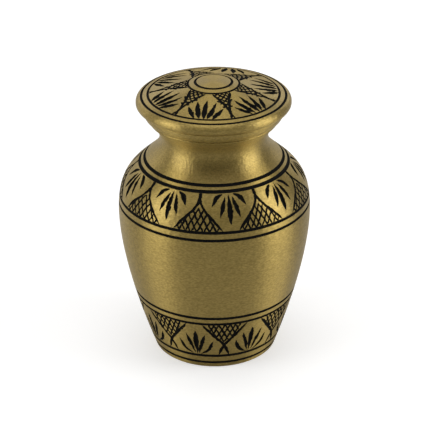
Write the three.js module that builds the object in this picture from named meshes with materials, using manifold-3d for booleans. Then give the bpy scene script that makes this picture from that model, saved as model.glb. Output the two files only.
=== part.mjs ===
// A small engraved brass urn with a lid that lifts off.
// Millimetres, +Z up, the origin at the middle of the underside, the front towards -Y.
import * as THREE from 'three';
import { mergeVertices } from 'three/addons/utils/BufferGeometryUtils.js';
import Module from 'manifold-3d';

// Body, outside, from the foot up: each rise starts where the one before it ends
const footRadius = 16.4;
const footEdge = 0.4; // rounding of the foot's edge
const footSlope = 20; // degrees off upright just above the foot
const bellyRadius = 25.4;
const bellyRise = 40; // foot to the widest place
const shoulderRise = 14.5; // widest place to where the shoulder turns into the neck
const shoulderSlope = 49; // degrees off upright there
const neckRadius = 14.15;
const neckSweep = 4.65; // how much wider than the neck that turning place is
const neckRise = 6.5; // turning place to the narrowest place
const lipRise = 4.35; // narrowest place to the lip's lower corner
const lipFlare = 2.45; // how far that corner stands out past the neck
const lipSlope = 43; // degrees off upright there
const lipEdge = 0.95; // height of the lip's edge
const lipLean = 0.5; // how far the edge leans out over its height

// Walls and the fit of the lid
const wall = 1.6;
const floorThickness = 2;
const lidGap = 0.3; // clearance between lid and body, at the seat and round the spigot
const spigotDepth = 5; // reach of the lid's spigot into the neck, below its seat
const seatWidth = 1.9; // width of the lid's ring that sits over the lip

// Lid, outside
const seatOverhang = 0.4; // how far the seat's outer edge stands past the lip
const coneRise = 2.1;
const coneFlare = 1.15;
const rimBulge = 1.5; // how far the rim's side stands past the top of the cone
const rimHeight = 1.9;
const rimRounding = 1.5; // rounding of the rim's upper edge
const topSlope = 14.6; // degrees off level, from the rim in to the plain middle
const middleRise = 0.35; // how far the plain middle rises above its edge

// Ring lines, each a V cut: a place, then the line's width
const lineDepth = 0.35;
const footLineHeight = 1.65;
const lowBandHeight = 4.2;
const lowBandWidth = 11.8;
const lowLineGap = 2; // the band's upper line to the second line above it
const highLineHeight = 2.9; // above the widest place
const highLineGap = 1.9; // that line to the band's lower line
const highBandDrop = 0.95; // the band's upper line below the shoulder's turning place
const neckLineRise = 0.25; // the neck line above that place
const bodyLineWidth = 0.7;
const lidOuterInset = 1.5; // lid's outer line in from the rim
const lidInnerInset = 3.15; // lid's band line in from the rim
const lidRingRadius = 6.7; // circle that the leaf tips touch
const lidEyeRadius = 4.6; // circle round the plain middle
const lidLineWidth = 0.55;

// Leaves, cut as five veins and a curved outline each
const leafDepth = 0.4;
const cutterLift = 0.45; // how far a cutter reaches out of the surface
const highLeafCount = 9;
const highLeafTurn = 8.6; // degrees from the front to a leaf's middle
const lowLeafCount = 8;
const lowLeafTurn = -15.5;
const lidLeafCount = 6;
const lidLeafTurn = -8;
const outlineWidth = 0.5;

// Fineness of the facets
const facets = 32;
const hollowFacets = 20;
const hollowSteps = 7;

const brass = { color: 0x8d7a45, roughness: 0.38, metalness: 1 };

const wasm = await Module();
wasm.setup();

const radians = (degrees) => THREE.MathUtils.degToRad(degrees);

// A solid from a closed three.js geometry
function solidFrom(geometry) {
  geometry.deleteAttribute('normal');
  geometry.deleteAttribute('uv');
  const merged = mergeVertices(geometry, 1e-5);
  return new wasm.Manifold(new wasm.Mesh({
    numProp: 3,
    vertProperties: new Float32Array(merged.attributes.position.array),
    triVerts: new Uint32Array(merged.index.array),
  }));
}

// A turned solid from a profile of [radius, height] points that starts and ends on the axis
function turned(points, count) {
  const profile = points.map(([radius, height]) => new THREE.Vector2(radius, height));
  return solidFrom(new THREE.LatheGeometry(profile, count).rotateX(Math.PI / 2));
}

// A curve between two [radius, height] places. Each end has its slope in degrees off upright,
// leaning out as the curve rises, and how far it holds that slope as a share of the span.
function sweep({ from, fromSlope, fromHold, to, toSlope, toHold }) {
  const start = new THREE.Vector2(...from);
  const end = new THREE.Vector2(...to);
  const span = start.distanceTo(end);
  const along = (slope) => new THREE.Vector2(Math.sin(radians(slope)), Math.cos(radians(slope)));
  const leaving = start.clone().addScaledVector(along(fromSlope), fromHold * span);
  const arriving = end.clone().addScaledVector(along(toSlope), -toHold * span);
  return new THREE.CubicBezierCurve(start, leaving, arriving, end);
}

// Joined curves, looked up by distance along them
function traced(curves) {
  const path = new THREE.CurvePath();
  path.curves = curves;
  path.arcLengthDivisions = 400;
  const length = path.getLength();
  const pointAt = (distance) => path.getPointAt(THREE.MathUtils.clamp(distance / length, 0, 1));
  const outwardAt = (distance) => {
    const tangent = path.getTangentAt(THREE.MathUtils.clamp(distance / length, 0.001, 0.999));
    return new THREE.Vector2(tangent.y, -tangent.x);
  };
  // The distance where the radius ('x') or the height ('y') reaches a value
  const find = (axis, value) => {
    let low = 0;
    let high = length;
    const rising = pointAt(high)[axis] > pointAt(low)[axis];
    for (let step = 0; step < 40; step += 1) {
      const middle = (low + high) / 2;
      if (pointAt(middle)[axis] < value === rising) low = middle;
      else high = middle;
    }
    return (low + high) / 2;
  };
  return { length, pointAt, outwardAt, find };
}

// Profile points along a traced line. Each mark has its distance, the number of facets that
// lead up to it from the mark before, and the width of the V that is cut there, if one is.
function grooved(trace, marks) {
  const stops = [{ distance: 0, sink: 0 }];
  let start = 0;
  for (const { at, steps, width = 0 } of marks) {
    const end = at - width / 2;
    for (let step = 1; step <= steps; step += 1) {
      stops.push({ distance: start + (step / steps) * (end - start), sink: 0 });
    }
    start = at + width / 2;
    if (width > 0) stops.push({ distance: at, sink: lineDepth }, { distance: start, sink: 0 });
  }
  return stops.map(({ distance, sink }) => {
    const point = trace.pointAt(distance).addScaledVector(trace.outwardAt(distance), -sink);
    return [point.x, point.y];
  });
}

// How much nearer the axis a flat facet lies than the true circle, at a turn in degrees
function facetShare(turn) {
  const half = Math.PI / facets;
  const within = THREE.MathUtils.euclideanModulo(radians(turn), 2 * half) - half;
  return Math.cos(half) / Math.cos(within);
}

// A surface to cut on: gives the point and the outward direction at a turn and a distance
function turnedSurface(trace) {
  return (turn, distance) => {
    const { x: radius, y: height } = trace.pointAt(distance);
    const { x: out, y: up } = trace.outwardAt(distance);
    const sine = Math.sin(radians(turn));
    const cosine = Math.cos(radians(turn));
    const share = facetShare(turn);
    return {
      point: new THREE.Vector3(radius * share * sine, -radius * share * cosine, height),
      normal: new THREE.Vector3(out * sine, -out * cosine, up).normalize(),
    };
  };
}

// A V cut along [turn, distance] places on a surface. It comes up to the surface at both ends,
// and the flat top of the cutter stays clear of the bulge between two places.
function stroke(surface, places, width) {
  const spots = places.map(([turn, distance]) => surface(turn, distance));
  const vertices = [];
  const last = spots.length - 1;
  spots.forEach(({ point, normal }, index) => {
    const sink = index === 0 || index === last ? 0 : leafDepth;
    const before = spots[Math.max(index - 1, 0)].point;
    const after = spots[Math.min(index + 1, last)].point;
    const across = (width / 2) * ((sink + cutterLift) / leafDepth);
    const aside = after.clone().sub(before).cross(normal).setLength(across);
    const raised = point.clone().addScaledVector(normal, cutterLift);
    vertices.push(raised.clone().sub(aside));
    vertices.push(raised.clone().add(aside));
    vertices.push(point.clone().addScaledVector(normal, -sink));
  });
  const end = 3 * last;
  const faces = [0, 2, 1, end, end + 1, end + 2];
  for (let near = 0; near < end; near += 3) {
    for (let side = 0; side < 3; side += 1) {
      const next = (side + 1) % 3;
      faces.push(near + side, near + next, near + 3 + next);
      faces.push(near + side, near + 3 + next, near + 3 + side);
    }
  }
  return new wasm.Manifold(new wasm.Mesh({
    numProp: 3,
    vertProperties: new Float32Array(vertices.flatMap((vertex) => vertex.toArray())),
    triVerts: new Uint32Array(faces),
  }));
}

// Leaves side by side in a band. In a leaf's own terms a place is [across, along]: across runs
// from its middle to the place halfway to the next leaf, along from its root to its far edge.
function leafBand(surface, { count, turn, root, edge, veins, stem, outline }) {
  const cuts = [];
  const halfPitch = 180 / count;
  for (let leaf = 0; leaf < count; leaf += 1) {
    const middle = turn + leaf * 2 * halfPitch;
    const placed = (side) => ([across, along]) => [
      middle + side * across * halfPitch,
      root + along * (edge - root),
    ];
    for (const side of [-1, 1]) {
      for (const { from, by, to, width } of veins) {
        const single = from[0] === 0 && to[0] === 0;
        if (single && side < 0) continue;
        cuts.push(stroke(surface, [from, by, to].map(placed(side)), width));
      }
      cuts.push(stroke(surface, outline.map(placed(side)), outlineWidth));
    }
    if (stem) cuts.push(stroke(surface, stem.map(placed(1)), outlineWidth));
  }
  return cuts;
}

function cutAway(solid, cuts) {
  return cuts.reduce((rest, cut) => rest.subtract(cut), solid);
}

// Heights of the body's places, each worked out from the one below
const turnHeight = bellyRise + shoulderRise;
const neckHeight = turnHeight + neckRise;
const lipCornerHeight = neckHeight + lipRise;
const lipHeight = lipCornerHeight + lipEdge;
const turnRadius = neckRadius + neckSweep;
const lipCornerRadius = neckRadius + lipFlare;
const lipRadius = lipCornerRadius + lipLean;
const boreRadius = neckRadius - wall;

const foot = [footRadius, 0];
const belly = [bellyRadius, bellyRise];
const turningPlace = [turnRadius, turnHeight];
const neck = [neckRadius, neckHeight];
const lipCorner = [lipCornerRadius, lipCornerHeight];
const flank = sweep({
  from: foot, fromSlope: footSlope, fromHold: 0.12, to: belly, toSlope: 0, toHold: 0.35,
});
const shoulder = sweep({
  from: belly, fromSlope: 0, fromHold: 0.58, to: turningPlace, toSlope: -shoulderSlope, toHold: 0.3,
});
const underNeck = sweep({
  from: turningPlace, fromSlope: -shoulderSlope, fromHold: 0.36, to: neck, toSlope: 0, toHold: 0.33,
});
const overNeck = sweep({
  from: neck, fromSlope: 0, fromHold: 0.44, to: lipCorner, toSlope: lipSlope, toHold: 0.05,
});
const bodyTrace = traced([flank, shoulder, underNeck, overNeck]);

function buildBody() {
  const distanceAt = (height) => bodyTrace.find('y', height);
  const lowRoot = distanceAt(lowBandHeight);
  const lowEdge = distanceAt(lowBandHeight + lowBandWidth);
  const highEdge = distanceAt(bellyRise + highLineHeight + highLineGap);
  const highRoot = distanceAt(turnHeight - highBandDrop);
  const line = (at, steps) => ({ at, steps, width: bodyLineWidth });
  const skin = grooved(bodyTrace, [
    line(distanceAt(footLineHeight), 1),
    line(lowRoot, 1),
    line(lowEdge, 2),
    line(distanceAt(lowBandHeight + lowBandWidth + lowLineGap), 1),
    { at: distanceAt(bellyRise), steps: 3 },
    line(distanceAt(bellyRise + highLineHeight), 1),
    line(highEdge, 1),
    line(highRoot, 3),
    line(distanceAt(turnHeight + neckLineRise), 1),
    { at: bodyTrace.length, steps: 5 },
  ]);
  const [footCorner, ...above] = skin;
  const outside = turned([
    [0, 0],
    [footCorner[0] - footEdge, 0],
    [footCorner[0] + footEdge * Math.tan(radians(footSlope)), footEdge],
    ...above,
    [lipRadius, lipHeight],
    [0, lipHeight],
  ], facets);

  // The hollow follows the outside a wall's thickness in, up to the straight bore of the neck
  const hollowStart = distanceAt(floorThickness);
  const hollowLength = distanceAt(turnHeight + neckRise / 2) - hollowStart;
  const hollow = [[0, floorThickness], [bodyTrace.pointAt(hollowStart).x - wall, floorThickness]];
  for (let index = 1; index <= hollowSteps; index += 1) {
    const distance = hollowStart + (index / hollowSteps) * hollowLength;
    const point = bodyTrace.pointAt(distance).addScaledVector(bodyTrace.outwardAt(distance), -wall);
    if (point.x > boreRadius) hollow.push([point.x, point.y]);
  }
  hollow.push([boreRadius, neckHeight]);
  hollow.push([boreRadius, lipHeight + 1]);
  hollow.push([0, lipHeight + 1]);

  const surface = turnedSurface(bodyTrace);
  const highLeaves = leafBand(surface, {
    count: highLeafCount,
    turn: highLeafTurn,
    root: highRoot,
    edge: highEdge,
    veins: [
      { from: [0, 0.2], by: [0, 0.52], to: [0, 0.82], width: 0.85 },
      { from: [0.12, 0.2], by: [0.24, 0.42], to: [0.3, 0.64], width: 0.6 },
      { from: [0.16, 0.1], by: [0.38, 0.24], to: [0.52, 0.46], width: 0.5 },
    ],
    stem: [[1, 0.02], [1, 0.16], [1, 0.3]],
    outline: [[1, 0.26], [0.7, 0.56], [0.32, 0.99]],
  });
  const lowLeaves = leafBand(surface, {
    count: lowLeafCount,
    turn: lowLeafTurn,
    root: lowRoot,
    edge: lowEdge,
    veins: [
      { from: [0, 0.08], by: [0, 0.42], to: [0, 0.76], width: 0.8 },
      { from: [0.04, 0.08], by: [0.22, 0.36], to: [0.36, 0.64], width: 0.6 },
      { from: [0.1, 0.06], by: [0.42, 0.18], to: [0.56, 0.4], width: 0.6 },
    ],
    outline: [[0.72, 0.01], [0.95, 0.26], [0.68, 0.5], [0.27, 0.98]],
  });
  return cutAway(outside.subtract(turned(hollow, hollowFacets)), [...highLeaves, ...lowLeaves]);
}

function buildLid() {
  const seatHeight = lipHeight + lidGap;
  const seatRadius = lipRadius + seatOverhang;
  const coneHeight = seatHeight + coneRise;
  const coneRadius = seatRadius + coneFlare;
  const rimRadius = coneRadius + rimBulge;
  const rimTop = coneHeight + rimHeight;
  const roundingRadius = rimRadius - rimRounding; // to the middle of the rounding

  // The top rises evenly from the rim's rounding to the circle round its plain middle
  const topAngle = radians(topSlope);
  const topStart = [
    roundingRadius + rimRounding * Math.sin(topAngle),
    rimTop + rimRounding * Math.cos(topAngle),
  ];
  const topHeight = (radius) => topStart[1] + (topStart[0] - radius) * Math.tan(topAngle);
  const underHeight = (radius) => topHeight(radius) - wall / Math.cos(topAngle);
  const middleEdge = [lidEyeRadius, topHeight(lidEyeRadius)];
  const rise = sweep({
    from: topStart,
    fromSlope: topSlope - 90,
    fromHold: 0.33,
    to: middleEdge,
    toSlope: topSlope - 90,
    toHold: 0.33,
  });
  const middle = sweep({
    from: middleEdge,
    fromSlope: topSlope / 2 - 90,
    fromHold: 0.33,
    to: [0, middleEdge[1] + middleRise],
    toSlope: -90,
    toHold: 0.33,
  });
  const topTrace = traced([rise, middle]);
  const distanceAt = (radius) => topTrace.find('x', radius);
  const root = distanceAt(rimRadius - lidInnerInset);
  const edge = distanceAt(lidRingRadius);
  const line = (at, steps) => ({ at, steps, width: lidLineWidth });
  const skin = grooved(topTrace, [
    line(distanceAt(rimRadius - lidOuterInset), 1),
    line(root, 1),
    line(edge, 1),
    line(distanceAt(lidEyeRadius), 1),
    { at: topTrace.length, steps: 1 },
  ]);

  const spigotRadius = boreRadius - lidGap;
  const spigotBore = spigotRadius - wall;
  const spigotEnd = seatHeight - spigotDepth;
  const channelRadius = seatRadius - seatWidth;
  const halfway = (Math.PI / 2 - topAngle) / 2;
  const shape = turned([
    [0, underHeight(lidEyeRadius)],
    [lidEyeRadius, underHeight(lidEyeRadius)],
    [spigotBore, underHeight(spigotBore)],
    [spigotBore, spigotEnd],
    [spigotRadius, spigotEnd],
    [spigotRadius, underHeight(spigotRadius)],
    [channelRadius, underHeight(channelRadius)],
    [channelRadius, seatHeight],
    [seatRadius, seatHeight],
    [coneRadius, coneHeight],
    [rimRadius, (coneHeight + rimTop) / 2],
    [rimRadius, rimTop],
    [roundingRadius + rimRounding * Math.cos(halfway), rimTop + rimRounding * Math.sin(halfway)],
    ...skin,
  ], facets);

  const leaves = leafBand(turnedSurface(topTrace), {
    count: lidLeafCount,
    turn: lidLeafTurn,
    root,
    edge,
    veins: [
      { from: [0, 0.03], by: [0, 0.26], to: [0, 0.64], width: 1.05 },
      { from: [0.13, 0.04], by: [0.22, 0.24], to: [0.34, 0.56], width: 0.95 },
      { from: [0.28, 0.03], by: [0.42, 0.16], to: [0.62, 0.4], width: 0.85 },
    ],
    stem: [[1, 0.02], [1, 0.18], [1, 0.34]],
    outline: [[1, 0.3], [0.65, 0.68], [0.22, 0.99]],
  });
  return cutAway(shape, leaves);
}

function meshFrom(name, solid) {
  const { vertProperties, triVerts } = solid.getMesh();
  const geometry = new THREE.BufferGeometry();
  geometry.setAttribute('position', new THREE.BufferAttribute(new Float32Array(vertProperties), 3));
  geometry.setIndex(new THREE.BufferAttribute(new Uint32Array(triVerts), 1));
  geometry.computeVertexNormals();
  const mesh = new THREE.Mesh(geometry, new THREE.MeshStandardMaterial(brass));
  mesh.name = name;
  return mesh;
}

const urn = new THREE.Group();
urn.add(meshFrom('body', buildBody()));
urn.add(meshFrom('lid', buildLid()));

export default urn;
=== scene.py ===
import math
import random

import bpy
from mathutils import Matrix, Vector


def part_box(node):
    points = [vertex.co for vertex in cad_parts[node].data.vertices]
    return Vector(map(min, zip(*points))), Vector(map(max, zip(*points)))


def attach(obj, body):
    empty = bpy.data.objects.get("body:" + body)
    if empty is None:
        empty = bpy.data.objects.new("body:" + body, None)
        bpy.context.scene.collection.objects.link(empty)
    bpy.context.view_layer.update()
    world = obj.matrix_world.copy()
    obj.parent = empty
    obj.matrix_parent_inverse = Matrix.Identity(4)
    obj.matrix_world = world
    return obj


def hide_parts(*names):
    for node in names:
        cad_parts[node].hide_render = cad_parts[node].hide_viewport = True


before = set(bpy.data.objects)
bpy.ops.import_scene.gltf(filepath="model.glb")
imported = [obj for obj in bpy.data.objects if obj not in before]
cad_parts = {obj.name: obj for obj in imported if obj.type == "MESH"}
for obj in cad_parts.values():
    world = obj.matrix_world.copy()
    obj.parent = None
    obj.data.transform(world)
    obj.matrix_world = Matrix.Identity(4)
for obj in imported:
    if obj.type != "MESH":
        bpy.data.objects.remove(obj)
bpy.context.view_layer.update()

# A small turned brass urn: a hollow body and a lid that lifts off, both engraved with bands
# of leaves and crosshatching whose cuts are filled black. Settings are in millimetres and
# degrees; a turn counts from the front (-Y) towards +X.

mm = 0.001
weld = 0.001 * mm         # vertices nearer to each other than this become one
insideBox = 0.01          # how far the turned shapes keep inside the box of the solids
fillingIndex = 1          # each piece has two materials: the brass, and the black filling
smoothBelow = 28          # faces that meet at a smaller angle than this are shaded as one
engraver = random.Random(11)
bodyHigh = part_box("body")[1] / mm
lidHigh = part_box("lid")[1] / mm
print("frame loaded")


# Selecting and shaping, as by hand

def selectOnly(thing):
    bpy.ops.object.select_all(action='DESELECT')
    thing.select_set(True)
    bpy.context.view_layer.objects.active = thing


def turnOnLathe(name, outline, steps):
    # A plane is pulled together into one vertex and drawn out along the outline, which starts
    # and ends on the axis. The outline is then spun once round.
    bpy.ops.object.select_all(action='DESELECT')
    bpy.ops.mesh.primitive_plane_add(size=mm)
    piece = bpy.context.object
    piece.name = name
    bpy.ops.object.mode_set(mode='EDIT')
    bpy.ops.mesh.select_all(action='SELECT')
    bpy.ops.mesh.merge(type='CENTER')
    bpy.ops.transform.translate(value=(outline[0][0] * mm, 0, outline[0][1] * mm))
    for here, there in zip(outline, outline[1:]):
        step = ((there[0] - here[0]) * mm, 0, (there[1] - here[1]) * mm)
        bpy.ops.mesh.extrude_region_move(TRANSFORM_OT_translate={"value": step})
    bpy.ops.mesh.select_all(action='SELECT')
    bpy.ops.mesh.spin(steps=steps, angle=math.tau, center=(0, 0, 0), axis=(0, 0, 1))
    bpy.ops.mesh.select_all(action='SELECT')
    bpy.ops.mesh.remove_doubles(threshold=weld)
    bpy.ops.mesh.normals_make_consistent(inside=False)
    bpy.ops.object.mode_set(mode='OBJECT')
    return piece


def cutWith(piece, cutter):
    selectOnly(piece)
    cut = piece.modifiers.new("cut", 'BOOLEAN')
    cut.operation = 'DIFFERENCE'
    cut.solver = 'MANIFOLD'
    cut.object = cutter
    bpy.ops.object.modifier_apply(modifier=cut.name)
    bpy.data.objects.remove(cutter)


def finishPiece(piece, node):
    selectOnly(piece)
    bpy.ops.object.shade_smooth_by_angle(angle=math.radians(smoothBelow))
    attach(piece, "root")
    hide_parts(node)


# Turned outlines: (radius, height) places, joined by curves with a slope off upright at each end

def sweep(start, startSlope, startHold, end, endSlope, endHold, count):
    span = math.dist(start, end)
    bends = []
    for place, slope, hold in ((start, startSlope, startHold), (end, endSlope, -endHold)):
        lean, pull = math.radians(slope), hold * span
        bends.append((place[0] + pull * math.sin(lean), place[1] + pull * math.cos(lean)))
    corners = (start, *bends, end)
    points = []
    for index in range(count + 1):
        t = index / count
        weights = ((1 - t) ** 3, 3 * (1 - t) ** 2 * t, 3 * (1 - t) * t ** 2, t ** 3)
        points.append(tuple(sum(w * c[axis] for w, c in zip(weights, corners)) for axis in (0, 1)))
    return points


def arc(centre, radius, start, end, count):
    angles = [math.radians(start + (end - start) * index / count) for index in range(count + 1)]
    return [(centre[0] + radius * math.cos(a), centre[1] + radius * math.sin(a)) for a in angles]


shortestStep = 1e-6       # points of an outline that are nearer than this count as one
halvings = 40             # steps in which a place on an outline is found


class Trace:
    # a drawn outline that is looked up by the distance along it
    def __init__(self, points):
        self.points = [points[0]]
        self.distances = [0.0]
        for point in points[1:]:
            step = math.dist(self.points[-1], point)
            if step > shortestStep:
                self.distances.append(self.distances[-1] + step)
                self.points.append(point)
        self.length = self.distances[-1]

    def at(self, distance):
        # the point there, and the way out of the metal
        distance = min(max(distance, 0), self.length)
        low, high = 0, len(self.distances) - 1
        while high - low > 1:
            middle = (low + high) // 2
            low, high = (middle, high) if self.distances[middle] <= distance else (low, middle)
        share = (distance - self.distances[low]) / (self.distances[high] - self.distances[low])
        here, there = Vector(self.points[low]), Vector(self.points[high])
        last = len(self.points) - 1
        before = (there - Vector(self.points[max(low - 1, 0)])).normalized()
        after = (Vector(self.points[min(high + 1, last)]) - here).normalized()
        along = before.lerp(after, share).normalized()
        return here.lerp(there, share), Vector((along.y, -along.x))

    def find(self, axis, value):
        # the distance where the radius (0) or the height (1) reaches a value
        rising = self.points[-1][axis] > self.points[0][axis]
        low, high = 0.0, self.length
        for _ in range(halvings):
            middle = (low + high) / 2
            if (self.at(middle)[0][axis] < value) == rising:
                low = middle
            else:
                high = middle
        return (low + high) / 2

    def sunk(self, distance, depth):
        point, out = self.at(distance)
        return tuple(point - out * depth)


# A ring line's cut in shares of its width: where its flat bottom starts and ends
ringBottom = (-0.2, 0.2)
blackMargin = 0.12        # how far the filling reaches past a ring line


def withRingLines(trace, lines, spacing, depth):
    # outline points in even steps, with a flat-bottomed cut at each (distance, width) line
    stops = [(0.0, 0.0)]
    start = 0.0
    for distance, width in sorted(lines) + [(trace.length, 0.0)]:
        end = distance - width / 2
        count = max(1, round((end - start) / spacing))
        stops += [(start + (end - start) * (index + 1) / count, 0.0) for index in range(count)]
        start = distance + width / 2
        if width:
            stops += [(distance + width * share, depth) for share in ringBottom] + [(start, 0.0)]
    return [trace.sunk(distance, sink) for distance, sink in stops]


def blackenRings(piece, trace, lines):
    # the faces inside the ring lines take the black filling
    places = [(trace.at(distance)[0], width / 2 + blackMargin) for distance, width in lines]
    for face in piece.data.polygons:
        middle = face.center / mm
        spot = Vector((math.hypot(middle.x, middle.y), middle.z))
        if any((spot - place).length < reach for place, reach in places):
            face.material_index = fillingIndex


# Engraving: a place is (turn, distance), the distance along the outline

def onSurface(trace, turn, distance):
    point, out = trace.at(distance)
    sine, cosine = math.sin(math.radians(turn)), math.cos(math.radians(turn))
    place = Vector((point.x * sine, -point.x * cosine, point.y))
    return place, Vector((out.x * sine, -out.x * cosine, out.y))


def alongCurve(places, t):
    # a smooth curve that runs through all its places
    last = len(places) - 1
    index = min(int(t * last), last - 1)
    share = t * last - index
    corners = [places[min(max(index + step, 0), last)] for step in (-1, 0, 1, 2)]
    weights = (
        -0.5 * share ** 3 + share ** 2 - 0.5 * share,
        1.5 * share ** 3 - 2.5 * share ** 2 + 1,
        -1.5 * share ** 3 + 2 * share ** 2 + 0.5 * share,
        0.5 * share ** 3 - 0.5 * share ** 2,
    )
    return tuple(sum(w * c[axis] for w, c in zip(weights, corners)) for axis in (0, 1))


graver = {
    "section": 0.5,       # length between two sections of a stroke
    "lift": 0.35,         # height of the round cutter's middle over the metal, in its radii
    "fewest": 5,          # sections in the shortest stroke
    "taper": 0.1,         # share of a plain line's length over which it narrows, at each end
    "swell": 1.1,         # how sharply a vein swells: 1 is a plain sine
    "unevenWidth": 0.2,
    "veinWidths": (0.92, 1.1),
    "shake": 0.09,
    "misplaced": 0.4,     # degrees
}


def engrave(trace, places, width, peak=None):
    # One stroke of the graver, as (place, radius) points of a round cutter. A vein swells to
    # its full width at its peak, a share of its length; a line keeps its width.
    spots = [onSurface(trace, *place)[0] for place in places]
    length = sum((there - here).length for here, there in zip(spots, spots[1:]))
    count = max(graver["fewest"], round(length / graver["section"]))
    points = []
    for index in range(count + 1):
        t = index / count
        place, out = onSurface(trace, *alongCurve(places, t))
        if peak is None:
            swell = min(1, t / graver["taper"], (1 - t) / graver["taper"])
        else:
            rise = t / peak if t < peak else (1 - t) / (1 - peak)
            swell = math.sin(math.pi / 2 * rise) ** graver["swell"]
        swell *= 1 + engraver.uniform(-1, 1) * graver["unevenWidth"]
        radius = width / 2 * swell / math.sqrt(1 - graver["lift"] ** 2)
        sideways = out.cross(Vector((0, 0, 1))).normalized()
        shake = engraver.uniform(-1, 1) * graver["shake"] if 0 < index < count else 0
        points.append((place + sideways * shake + out * radius * graver["lift"], radius))
    return points


def cutStrokes(piece, strokes):
    # all the strokes of one layer in one cut; within a layer they don't touch each other
    line = bpy.data.curves.new("strokes", 'CURVE')
    line.dimensions = '3D'
    line.fill_mode = 'FULL'
    line.bevel_depth = mm
    line.bevel_resolution = 1
    line.use_fill_caps = True
    for stroke in strokes:
        spline = line.splines.new('POLY')
        spline.points.add(len(stroke) - 1)
        for point, (place, radius) in zip(spline.points, stroke):
            point.co = (*(place * mm), 1)
            point.radius = radius
    cutter = bpy.data.objects.new("strokes", line)
    bpy.context.scene.collection.objects.link(cutter)
    selectOnly(cutter)
    bpy.ops.object.convert(target='MESH')
    cutter = bpy.context.object
    bpy.ops.object.mode_set(mode='EDIT')
    bpy.ops.mesh.select_all(action='SELECT')
    bpy.ops.mesh.remove_doubles(threshold=weld)
    bpy.ops.mesh.normals_make_consistent(inside=False)
    bpy.ops.object.mode_set(mode='OBJECT')
    cutter.data.materials.clear()
    for material in piece.data.materials:
        cutter.data.materials.append(material)
    for face in cutter.data.polygons:
        face.material_index = fillingIndex
    cutWith(piece, cutter)


def hatchLines(hatch):
    # One family of parallel lines in a triangle, whose apex is at (0, apex) and whose foot
    # spans the reach to either side. Their slant is a share of that of the triangle's sides.
    high, reach = hatch["foot"] - hatch["apex"], hatch["reach"]
    side = reach / high
    slant = side * hatch["slant"]
    last = reach * max(1, hatch["slant"])
    lines = []
    for number in range(1, hatch["lines"] + 1):
        across = -reach + (last + reach) * number / (hatch["lines"] + 1)
        bounds = [high * (1 - hatch["clear"]), (across + reach) / (slant + side)]
        low = 0.0
        if slant > side:
            low = max(0, (across - reach) / (slant - side))
        else:
            bounds.append((reach - across) / (side - slant))
        ends = [(across - slant * up, hatch["foot"] - up) for up in (min(bounds), low)]
        if math.dist(*ends) > hatch["shortest"]:
            lines.append(ends)
    return lines


def leafBand(trace, root, edge, band):
    # The strokes of a band of leaves, in five layers. In a leaf's own terms a place is
    # (across, along): across runs from its middle to the parting line on that side, along
    # from its root to its far edge.
    # layers 0 and 1 take the veins and the hatching, 2 and 3 the outlines, 4 the stems
    layers = [[] for _ in range(5)]
    turns = band["turns"]
    for index, middle in enumerate(turns):
        halves = {
            -1: (middle - turns[index - 1]) % 360 / 2,
            1: (turns[(index + 1) % len(turns)] - middle) % 360 / 2,
        }

        def placed(side, path):
            lean = engraver.uniform(-1, 1) * graver["misplaced"]
            return [(middle + side * across * halves[side] + lean, root + along * (edge - root))
                    for across, along in path]

        for side in (-1, 1):
            for order, vein in enumerate(band["veins"]):
                if order == 0 and side < 0:
                    continue
                width = vein["width"] * engraver.uniform(*graver["veinWidths"])
                stroke = engrave(trace, placed(side, vein["path"]), width, vein["peak"])
                layers[order % 2].append(stroke)
            outline = placed(side, band["outline"])
            layers[2 if side < 0 else 3].append(engrave(trace, outline, band["outlineWidth"]))
        if band["stem"]:
            layers[4].append(engrave(trace, placed(1, band["stem"]), band["outlineWidth"]))

        # crosshatching about the parting line, in two families that lean either way
        hatch = band["hatching"]
        for lean in (-1, 1):
            for start, end in hatchLines(hatch):
                path = ((1 + lean * start[0], start[1]), (1 + lean * end[0], end[1]))
                line = engrave(trace, placed(1, path), hatch["width"])
                layers[0 if lean < 0 else 1].append(line)
    return layers


# Finishes

def addNode(tree, kind, wires, **facts):
    node = tree.nodes.new(kind)
    for name, value in facts.items():
        setattr(node, name, value)
    for name, source in wires.items():
        if isinstance(source, bpy.types.NodeSocket):
            tree.links.new(source, node.inputs[name])
        else:
            node.inputs[name].default_value = source
    return node


def calculate(tree, operation, *values):
    return addNode(tree, 'ShaderNodeMath', dict(enumerate(values)), operation=operation).outputs[0]


def latheMarks():
    # Marks left by turning and brushing: noise that changes quickly across the rings and more
    # slowly round the axis
    tree = bpy.data.node_groups.new("lathe marks", 'ShaderNodeTree')
    for name, way in (("Fineness", 'INPUT'), ("Turns", 'INPUT'), ("Marks", 'OUTPUT')):
        tree.interface.new_socket(name, in_out=way, socket_type='NodeSocketFloat')
    given = tree.nodes.new('NodeGroupInput').outputs
    place = addNode(tree, 'ShaderNodeTexCoord', {}).outputs["Object"]
    axes = addNode(tree, 'ShaderNodeSeparateXYZ', {0: place}).outputs
    squares = [calculate(tree, 'MULTIPLY', axes[axis], axes[axis]) for axis in (0, 1)]
    radius = calculate(tree, 'SQRT', calculate(tree, 'ADD', *squares))
    ways = [calculate(tree, 'DIVIDE', axes[axis], radius) for axis in (0, 1)]
    around = [calculate(tree, 'MULTIPLY', way, given["Turns"]) for way in ways]
    across = [calculate(tree, 'MULTIPLY', value, given["Fineness"]) for value in (radius, axes[2])]
    places = dict(enumerate((*across, around[0])))
    spot = addNode(tree, 'ShaderNodeCombineXYZ', places).outputs[0]
    noise = addNode(tree, 'ShaderNodeTexNoise', {
        "Vector": spot, "W": around[1], "Scale": 1.0, "Detail": 2.0,
    }, noise_dimensions='4D')
    result = tree.nodes.new('NodeGroupOutput').inputs
    tree.links.new(noise.outputs["Fac"], result["Marks"])
    return tree


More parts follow.
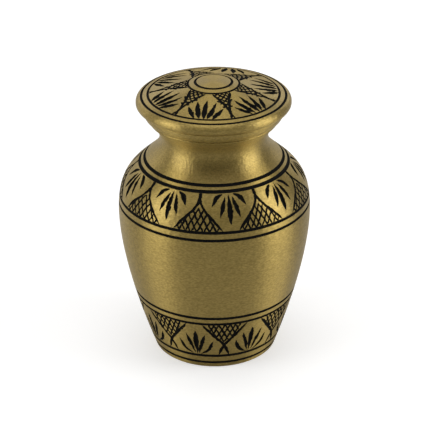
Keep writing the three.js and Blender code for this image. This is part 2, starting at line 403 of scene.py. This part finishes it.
def brassFinish(marks):
    look = {
        "dark": (0.315, 0.227, 0.063, 1),
        "light": (0.52, 0.379, 0.113, 1),
        "roughness": (0.40, 0.50),
        "anisotropy": 0.9,
        "lacquer": 0.25,
        "lacquerRoughness": 0.35,
        # marks per metre across the rings, and how quickly they change round the axis
        "lines": (4200.0, 3.0),
        "grain": (3000.0, 34.0),
        "dents": (1300.0, 26.0),
        "relief": 0.00003,
        "strength": 0.6,
        "dentDepth": 5.0,     # in reliefs
        "spread": (0.3, 0.7),     # the noise values that the tones and the roughness span
        "brushing": 0.25,         # how far the anisotropy is rotated, in turns
    }
    material = bpy.data.materials.new("brushed brass")
    material.use_nodes = True
    tree = material.node_tree
    shader = tree.nodes["Principled BSDF"]
    lines, grain, dents = [
        addNode(tree, 'ShaderNodeGroup', dict(zip(("Fineness", "Turns"), look[name])),
                node_tree=marks).outputs["Marks"]
        for name in ("lines", "grain", "dents")
    ]
    spread = dict(zip(("From Min", "From Max"), look["spread"]))
    tone = addNode(tree, 'ShaderNodeMapRange', {"Value": grain, **spread}).outputs["Result"]
    colour = addNode(tree, 'ShaderNodeMix', {0: tone}, data_type='RGBA')
    colour.inputs["A"].default_value = look["dark"]
    colour.inputs["B"].default_value = look["light"]
    rough = addNode(tree, 'ShaderNodeMapRange', {
        "Value": lines, **spread,
        "To Min": look["roughness"][0], "To Max": look["roughness"][1],
    })
    deep = calculate(tree, 'MULTIPLY', dents, look["dentDepth"])
    fine = calculate(tree, 'ADD', grain, lines)
    height = calculate(tree, 'ADD', fine, deep)
    bump = addNode(tree, 'ShaderNodeBump', {
        "Height": height, "Strength": look["strength"], "Distance": look["relief"],
    })
    tangent = addNode(tree, 'ShaderNodeTangent', {}, direction_type='RADIAL', axis='Z')
    shader.inputs["Metallic"].default_value = 1.0
    shader.inputs["Coat Weight"].default_value = look["lacquer"]
    shader.inputs["Coat Roughness"].default_value = look["lacquerRoughness"]
    shader.inputs["Anisotropic"].default_value = look["anisotropy"]
    shader.inputs["Anisotropic Rotation"].default_value = look["brushing"]
    tree.links.new(colour.outputs["Result"], shader.inputs["Base Color"])
    tree.links.new(rough.outputs["Result"], shader.inputs["Roughness"])
    tree.links.new(bump.outputs["Normal"], shader.inputs["Normal"])
    tree.links.new(tangent.outputs["Tangent"], shader.inputs["Tangent"])
    return material


def plainFinish(name, colour, roughness):
    material = bpy.data.materials.new(name)
    material.use_nodes = True
    shader = material.node_tree.nodes["Principled BSDF"]
    shader.inputs["Base Color"].default_value = (*colour, 1)
    shader.inputs["Roughness"].default_value = roughness
    return material


def floorFinish(look):
    # white to the camera, as in a photograph whose ground is cut away; grey to the metal
    material = plainFinish("floor", (look["white"],) * 3, look["roughness"])
    tree = material.node_tree
    shader = tree.nodes["Principled BSDF"]
    seen = addNode(tree, 'ShaderNodeLightPath', {}).outputs["Is Camera Ray"]
    white = calculate(tree, 'MULTIPLY', seen, look["white"])
    tree.links.new(calculate(tree, 'MAXIMUM', white, look["grey"]), shader.inputs["Base Color"])
    glow = calculate(tree, 'MULTIPLY', seen, look["glow"])
    tree.links.new(glow, shader.inputs["Emission Strength"])
    shader.inputs["Emission Color"].default_value = (1, 1, 1, 1)
    return material


fillingLook = {"colour": (0.004, 0.004, 0.003), "roughness": 0.9, "specular": 0.15}
brass = brassFinish(latheMarks())
filling = plainFinish("black filling", fillingLook["colour"], fillingLook["roughness"])
fillingShader = filling.node_tree.nodes["Principled BSDF"]
fillingShader.inputs["Specular IOR Level"].default_value = fillingLook["specular"]
print("finishes made")


def coat(piece):
    for material in (brass, filling):
        piece.data.materials.append(material)


# Body

bodyForm = {
    "footRadius": 16.4, "footEdge": 0.4, "footSlope": 20, "footHold": 0.12,
    "bellyHeight": 40, "bellyUnder": 0.35, "bellyOver": 0.58,
    "turnRadius": 18.8, "turnHeight": 54.5, "turnSlope": -49, "turnUnder": 0.3, "turnOver": 0.36,
    "neckRadius": 14.15, "neckHeight": 61, "neckUnder": 0.33, "neckOver": 0.44,
    "lipCorner": (16.6, 65.35), "lipSlope": 43, "lipHold": 0.05,
    "lipRadius": 17.1, "lipRounding": 0.22,
    "counts": (160, 80, 40, 40),      # steps in each curve, from the foot up
    "wall": 1.6, "floor": 2.0, "floorRounding": 1.0, "floorBevel": (0.35, 1.1), "overFoot": 0.1,
    "spacing": 0.75, "hollowSpacing": 2.2, "lineDepth": 0.28, "steps": 216,
    # heights of the ring lines, each with its width
    "ringLines": ((1.78, 0.9), (4.33, 0.98), (16.1, 0.84), (18.1, 0.9), (42.86, 0.78), (44.95, 0.8),
                  (53.86, 0.98), (55.0, 0.92)),
}
form = bodyForm
footCorner = (form["footRadius"], 0)
belly = (bodyHigh.x - insideBox, form["bellyHeight"])
turning = (form["turnRadius"], form["turnHeight"])
neck = (form["neckRadius"], form["neckHeight"])
# each curve: where it starts, its slope and hold there, and the same at its end
curves = (
    (footCorner, form["footSlope"], form["footHold"], belly, 0, form["bellyUnder"]),
    (belly, 0, form["bellyOver"], turning, form["turnSlope"], form["turnUnder"]),
    (turning, form["turnSlope"], form["turnOver"], neck, 0, form["neckUnder"]),
    (neck, 0, form["neckOver"], form["lipCorner"], form["lipSlope"], form["lipHold"]),
)
bodyTrace = Trace([
    point for curve, count in zip(curves, form["counts"]) for point in sweep(*curve, count)
])
bodyLines = [(bodyTrace.find(1, height), width) for height, width in form["ringLines"]]
outside = withRingLines(bodyTrace, bodyLines, form["spacing"], form["lineDepth"])
footStart = form["footRadius"] + form["footEdge"] * math.tan(math.radians(form["footSlope"]))
footMiddle = (footStart - form["footEdge"], form["footEdge"])
foot = [(0, 0)] + arc(footMiddle, form["footEdge"], -90, -10, 4)

lipTop = bodyHigh.z
rounding = form["lipRounding"]
bore = form["neckRadius"] - form["wall"]
lip = (
    arc((form["lipRadius"] - rounding, lipTop - rounding), rounding, -20, 90, 3)
    + arc((bore + rounding, lipTop - rounding), rounding, 90, 180, 3)
)
highest = bodyTrace.find(1, form["neckHeight"])
lowest = bodyTrace.find(1, form["floor"] + form["floorRounding"])
count = round((highest - lowest) / form["hollowSpacing"])
inside = [bodyTrace.sunk(highest + (lowest - highest) * index / count, form["wall"])
          for index in range(count + 1)]
corner = inside[-1][0]
nearBevel, farBevel = form["floorBevel"]
inside += [(corner - nearBevel, form["floor"] + nearBevel), (corner - farBevel, form["floor"]),
           (0, form["floor"])]
above = [point for point in outside if point[1] > form["footEdge"] + form["overFoot"]]
body = turnOnLathe("urnBody", foot + above + lip + inside, form["steps"])
coat(body)
blackenRings(body, bodyTrace, bodyLines)
print("body turned", len(body.data.polygons))

shoulderBand = {
    "turns": [-29.8, 9.6, 48.6, 89, 129, 170, 209.5, 250, 290.5],
    "veins": (
        {"path": ((0, 0.07), (0, 0.45), (0, 0.82)), "width": 1.6, "peak": 0.6},
        {"path": ((0.12, 0.13), (0.2, 0.36), (0.31, 0.66)), "width": 1.25, "peak": 0.55},
        {"path": ((0.19, 0.06), (0.42, 0.16), (0.58, 0.39)), "width": 1.25, "peak": 0.55},
    ),
    "outline": ((1.06, 0.03), (0.98, 0.22), (0.92, 0.35), (0.77, 0.51), (0.53, 0.71), (0.24, 0.98)),
    "outlineWidth": 0.8,
    "stem": ((1, 0.03), (1, 0.2)),
    "hatching": {"apex": 0.3, "foot": 0.98, "reach": 0.76, "lines": 7, "slant": 0.6,
                 "clear": 0.15, "shortest": 0.12, "width": 0.54},
}
footBand = {
    "turns": [-15.1, 28.9, 74, 119, 164.5, 209.5, 255.5, 300.8],
    "veins": (
        {"path": ((0, 0.04), (0, 0.4), (0, 0.78)), "width": 1.5, "peak": 0.66},
        {"path": ((0.08, 0.06), (0.2, 0.34), (0.36, 0.67)), "width": 1.15, "peak": 0.62},
        {"path": ((0.13, 0.04), (0.45, 0.2), (0.61, 0.47)), "width": 1.2, "peak": 0.6},
    ),
    "outline": ((1.2, 0.01), (1, 0.33), (0.85, 0.47), (0.66, 0.62), (0.46, 0.79), (0.25, 0.97)),
    "outlineWidth": 0.92,
    "stem": None,
    "hatching": {"apex": 0.36, "foot": 0.98, "reach": 0.71, "lines": 7, "slant": 0.6,
                 "clear": 0.12, "shortest": 0.12, "width": 0.58},
}
bandPlaces = [distance for distance, width in bodyLines]
shoulderLayers = leafBand(bodyTrace, bandPlaces[6], bandPlaces[5], shoulderBand)
footLayers = leafBand(bodyTrace, bandPlaces[1], bandPlaces[2], footBand)
for upper, lower in zip(shoulderLayers, footLayers):
    cutStrokes(body, upper + lower)
finishPiece(body, "body")
print("body engraved", len(body.data.polygons))


# Lid

lidForm = {
    "gap": 0.3, "spigotDepth": 5, "spigotRounding": 0.3,
    "seatRadius": 17.5, "seatWidth": 1.9, "seatGap": 0.2, "seatRounding": 0.15,
    # under the rim: a bulging cone, a notch, and the rim's rounded underside
    "cone": ((17.85, 66.95), (18.17, 67.5), (18.38, 68.0), (18.5, 68.4), (18.54, 68.8),
             (18.42, 68.97)),
    "rimUnder": ((18.5, 69.12), (19.0, 69.18), (19.45, 69.38), (19.85, 69.7), (20.08, 70.05),
                 (20.14, 70.4)),
    "rimTop": 70.6, "rimRounding": 1.5, "topSlope": 14.6, "topHold": 0.33, "topCount": 20,
    "middleRadius": 4.6, "middleRise": 0.35, "apexInset": 0.005,
    "wall": 1.6, "spacing": 0.75, "lineDepth": 0.26, "steps": 216,
    # radii of the ring lines, each with its width
    "ringLines": ((18.65, 0.6), (17.0, 0.66), (6.65, 0.62), (4.75, 0.72)),
}
form = lidForm
rimRadius = lidHigh.x - insideBox
apex = lidHigh.z - form["apexInset"]
middle = rimRadius - form["rimRounding"]
topAngle = math.radians(form["topSlope"])
topOut = Vector((math.sin(topAngle), math.cos(topAngle)))
topStart = Vector((middle, form["rimTop"])) + form["rimRounding"] * topOut
middleEdge = (form["middleRadius"], apex - form["middleRise"])
lean, hold = form["topSlope"] - 90, form["topHold"]
lidTrace = Trace(
    sweep(tuple(topStart), lean, hold, middleEdge, lean, hold, form["topCount"])
    + sweep(middleEdge, form["topSlope"] / 2 - 90, hold, (0, apex), -90, hold, form["topCount"])
)
lidLines = [(lidTrace.find(0, radius), width) for radius, width in form["ringLines"]]
top = withRingLines(lidTrace, lidLines, form["spacing"], form["lineDepth"])


def underTop(radius):
    height = topStart.y + (topStart.x - radius) * math.tan(topAngle)
    return (radius, height - form["wall"] / math.cos(topAngle))


seat = bodyHigh.z + form["seatGap"]
spigot = bore - form["gap"]
spigotBore = spigot - form["wall"]
spigotEnd = bodyHigh.z + form["gap"] - form["spigotDepth"]
channel = form["seatRadius"] - form["seatWidth"]
innerSpan = spigotBore - form["middleRadius"]
spigotRounding, seatRounding = form["spigotRounding"], form["seatRounding"]
shape = (
    [(0, underTop(form["middleRadius"])[1])]
    + [underTop(form["middleRadius"] + innerSpan * part / 3) for part in range(4)]
    + arc((spigotBore + spigotRounding, spigotEnd + spigotRounding), spigotRounding, 180, 270, 3)
    + arc((spigot - spigotRounding, spigotEnd + spigotRounding), spigotRounding, -90, 0, 3)
    + [underTop(spigot), underTop((spigot + channel) / 2), underTop(channel), (channel, seat)]
    + arc((form["seatRadius"] - seatRounding, seat + seatRounding), seatRounding, -90, -20, 2)
    + [*form["cone"], *form["rimUnder"]]
    + arc((middle, form["rimTop"]), form["rimRounding"], 0, 90 - form["topSlope"], 7)[:-1]
    + top
)
lid = turnOnLathe("urnLid", shape, form["steps"])
coat(lid)
blackenRings(lid, lidTrace, lidLines)
print("lid turned", len(lid.data.polygons))

topBand = {
    "turns": [-9.2, 43, 97.5, 168, 240, 296.5],
    "veins": (
        {"path": ((0.02, 0.02), (0, 0.35), (-0.03, 0.74)), "width": 1.7, "peak": 0.4},
        {"path": ((0.14, 0.03), (0.3, 0.32), (0.5, 0.66)), "width": 1.6, "peak": 0.4},
        {"path": ((0.28, 0.02), (0.5, 0.22), (0.76, 0.42)), "width": 1.5, "peak": 0.4},
    ),
    "outline": ((1.07, 0.01), (1, 0.14), (0.96, 0.34), (0.84, 0.58), (0.6, 0.8), (0.22, 0.99)),
    "outlineWidth": 0.8,
    "stem": None,
    "hatching": {"apex": 0.25, "foot": 0.98, "reach": 0.72, "lines": 6, "slant": 2.6,
                 "clear": 0.25, "shortest": 0.1, "width": 0.58},
}
lidPlaces = [distance for distance, width in lidLines]
for layer in leafBand(lidTrace, lidPlaces[1], lidPlaces[2], topBand):
    if layer:
        cutStrokes(lid, layer)
finishPiece(lid, "lid")
print("lid engraved", len(lid.data.polygons))


# Floor, light and camera

studio = {
    "floorSize": 6000,
    "floor": {"white": 0.6, "grey": 0.68, "glow": 0.5, "roughness": 0.9},
    "world": (0.163, 0.163, 0.163),
    # name, place, the height that it faces, size, watts
    "lights": (
        ("left", (-660, -240, 420), 420, (440, 820), 3.0),
        ("right", (690, -130, 420), 420, (440, 820), 3.6),
        ("behind left", (-620, 350, 300), 300, (400, 580), 0.5),
        ("overhead", (0, 0, 1150), 0, (900, 900), 4.5),
        ("back", (0, 900, 500), 0, (1800, 700), 3.1),
    ),
    "camera": (0.4, -414.6, 250.5), "tilt": 27.25, "roll": -0.39, "lens": 145.7,
}
scene = bpy.context.scene
bpy.ops.mesh.primitive_plane_add(size=studio["floorSize"] * mm, location=(0, 0, 0))
floor = bpy.context.object
floor.name = "floor"
floor.data.materials.append(floorFinish(studio["floor"]))

for name, place, faces, size, power in studio["lights"]:
    lamp = bpy.data.lights.new(name, 'AREA')
    lamp.shape = 'RECTANGLE'
    lamp.size, lamp.size_y = (side * mm for side in size)
    lamp.energy = power
    light = bpy.data.objects.new(name, lamp)
    light.location = Vector(place) * mm
    aim = Vector((0, 0, faces)) - Vector(place)
    light.rotation_euler = aim.to_track_quat('-Z', 'Y').to_euler()
    scene.collection.objects.link(light)

world = bpy.data.worlds.new("studio")
world.use_nodes = True
world.node_tree.nodes["Background"].inputs["Color"].default_value = (*studio["world"], 1)
scene.world = world

camera = bpy.data.objects.new("camera", bpy.data.cameras.new("camera"))
camera.data.lens = studio["lens"]
camera.location = Vector(studio["camera"]) * mm
turned = Matrix.Rotation(math.radians(90 - studio["tilt"]), 3, 'X')
camera.rotation_euler = (turned @ Matrix.Rotation(math.radians(studio["roll"]), 3, 'Z')).to_euler()
scene.collection.objects.link(camera)
scene.camera = camera
scene.view_settings.view_transform = 'Standard'
print("stage set")
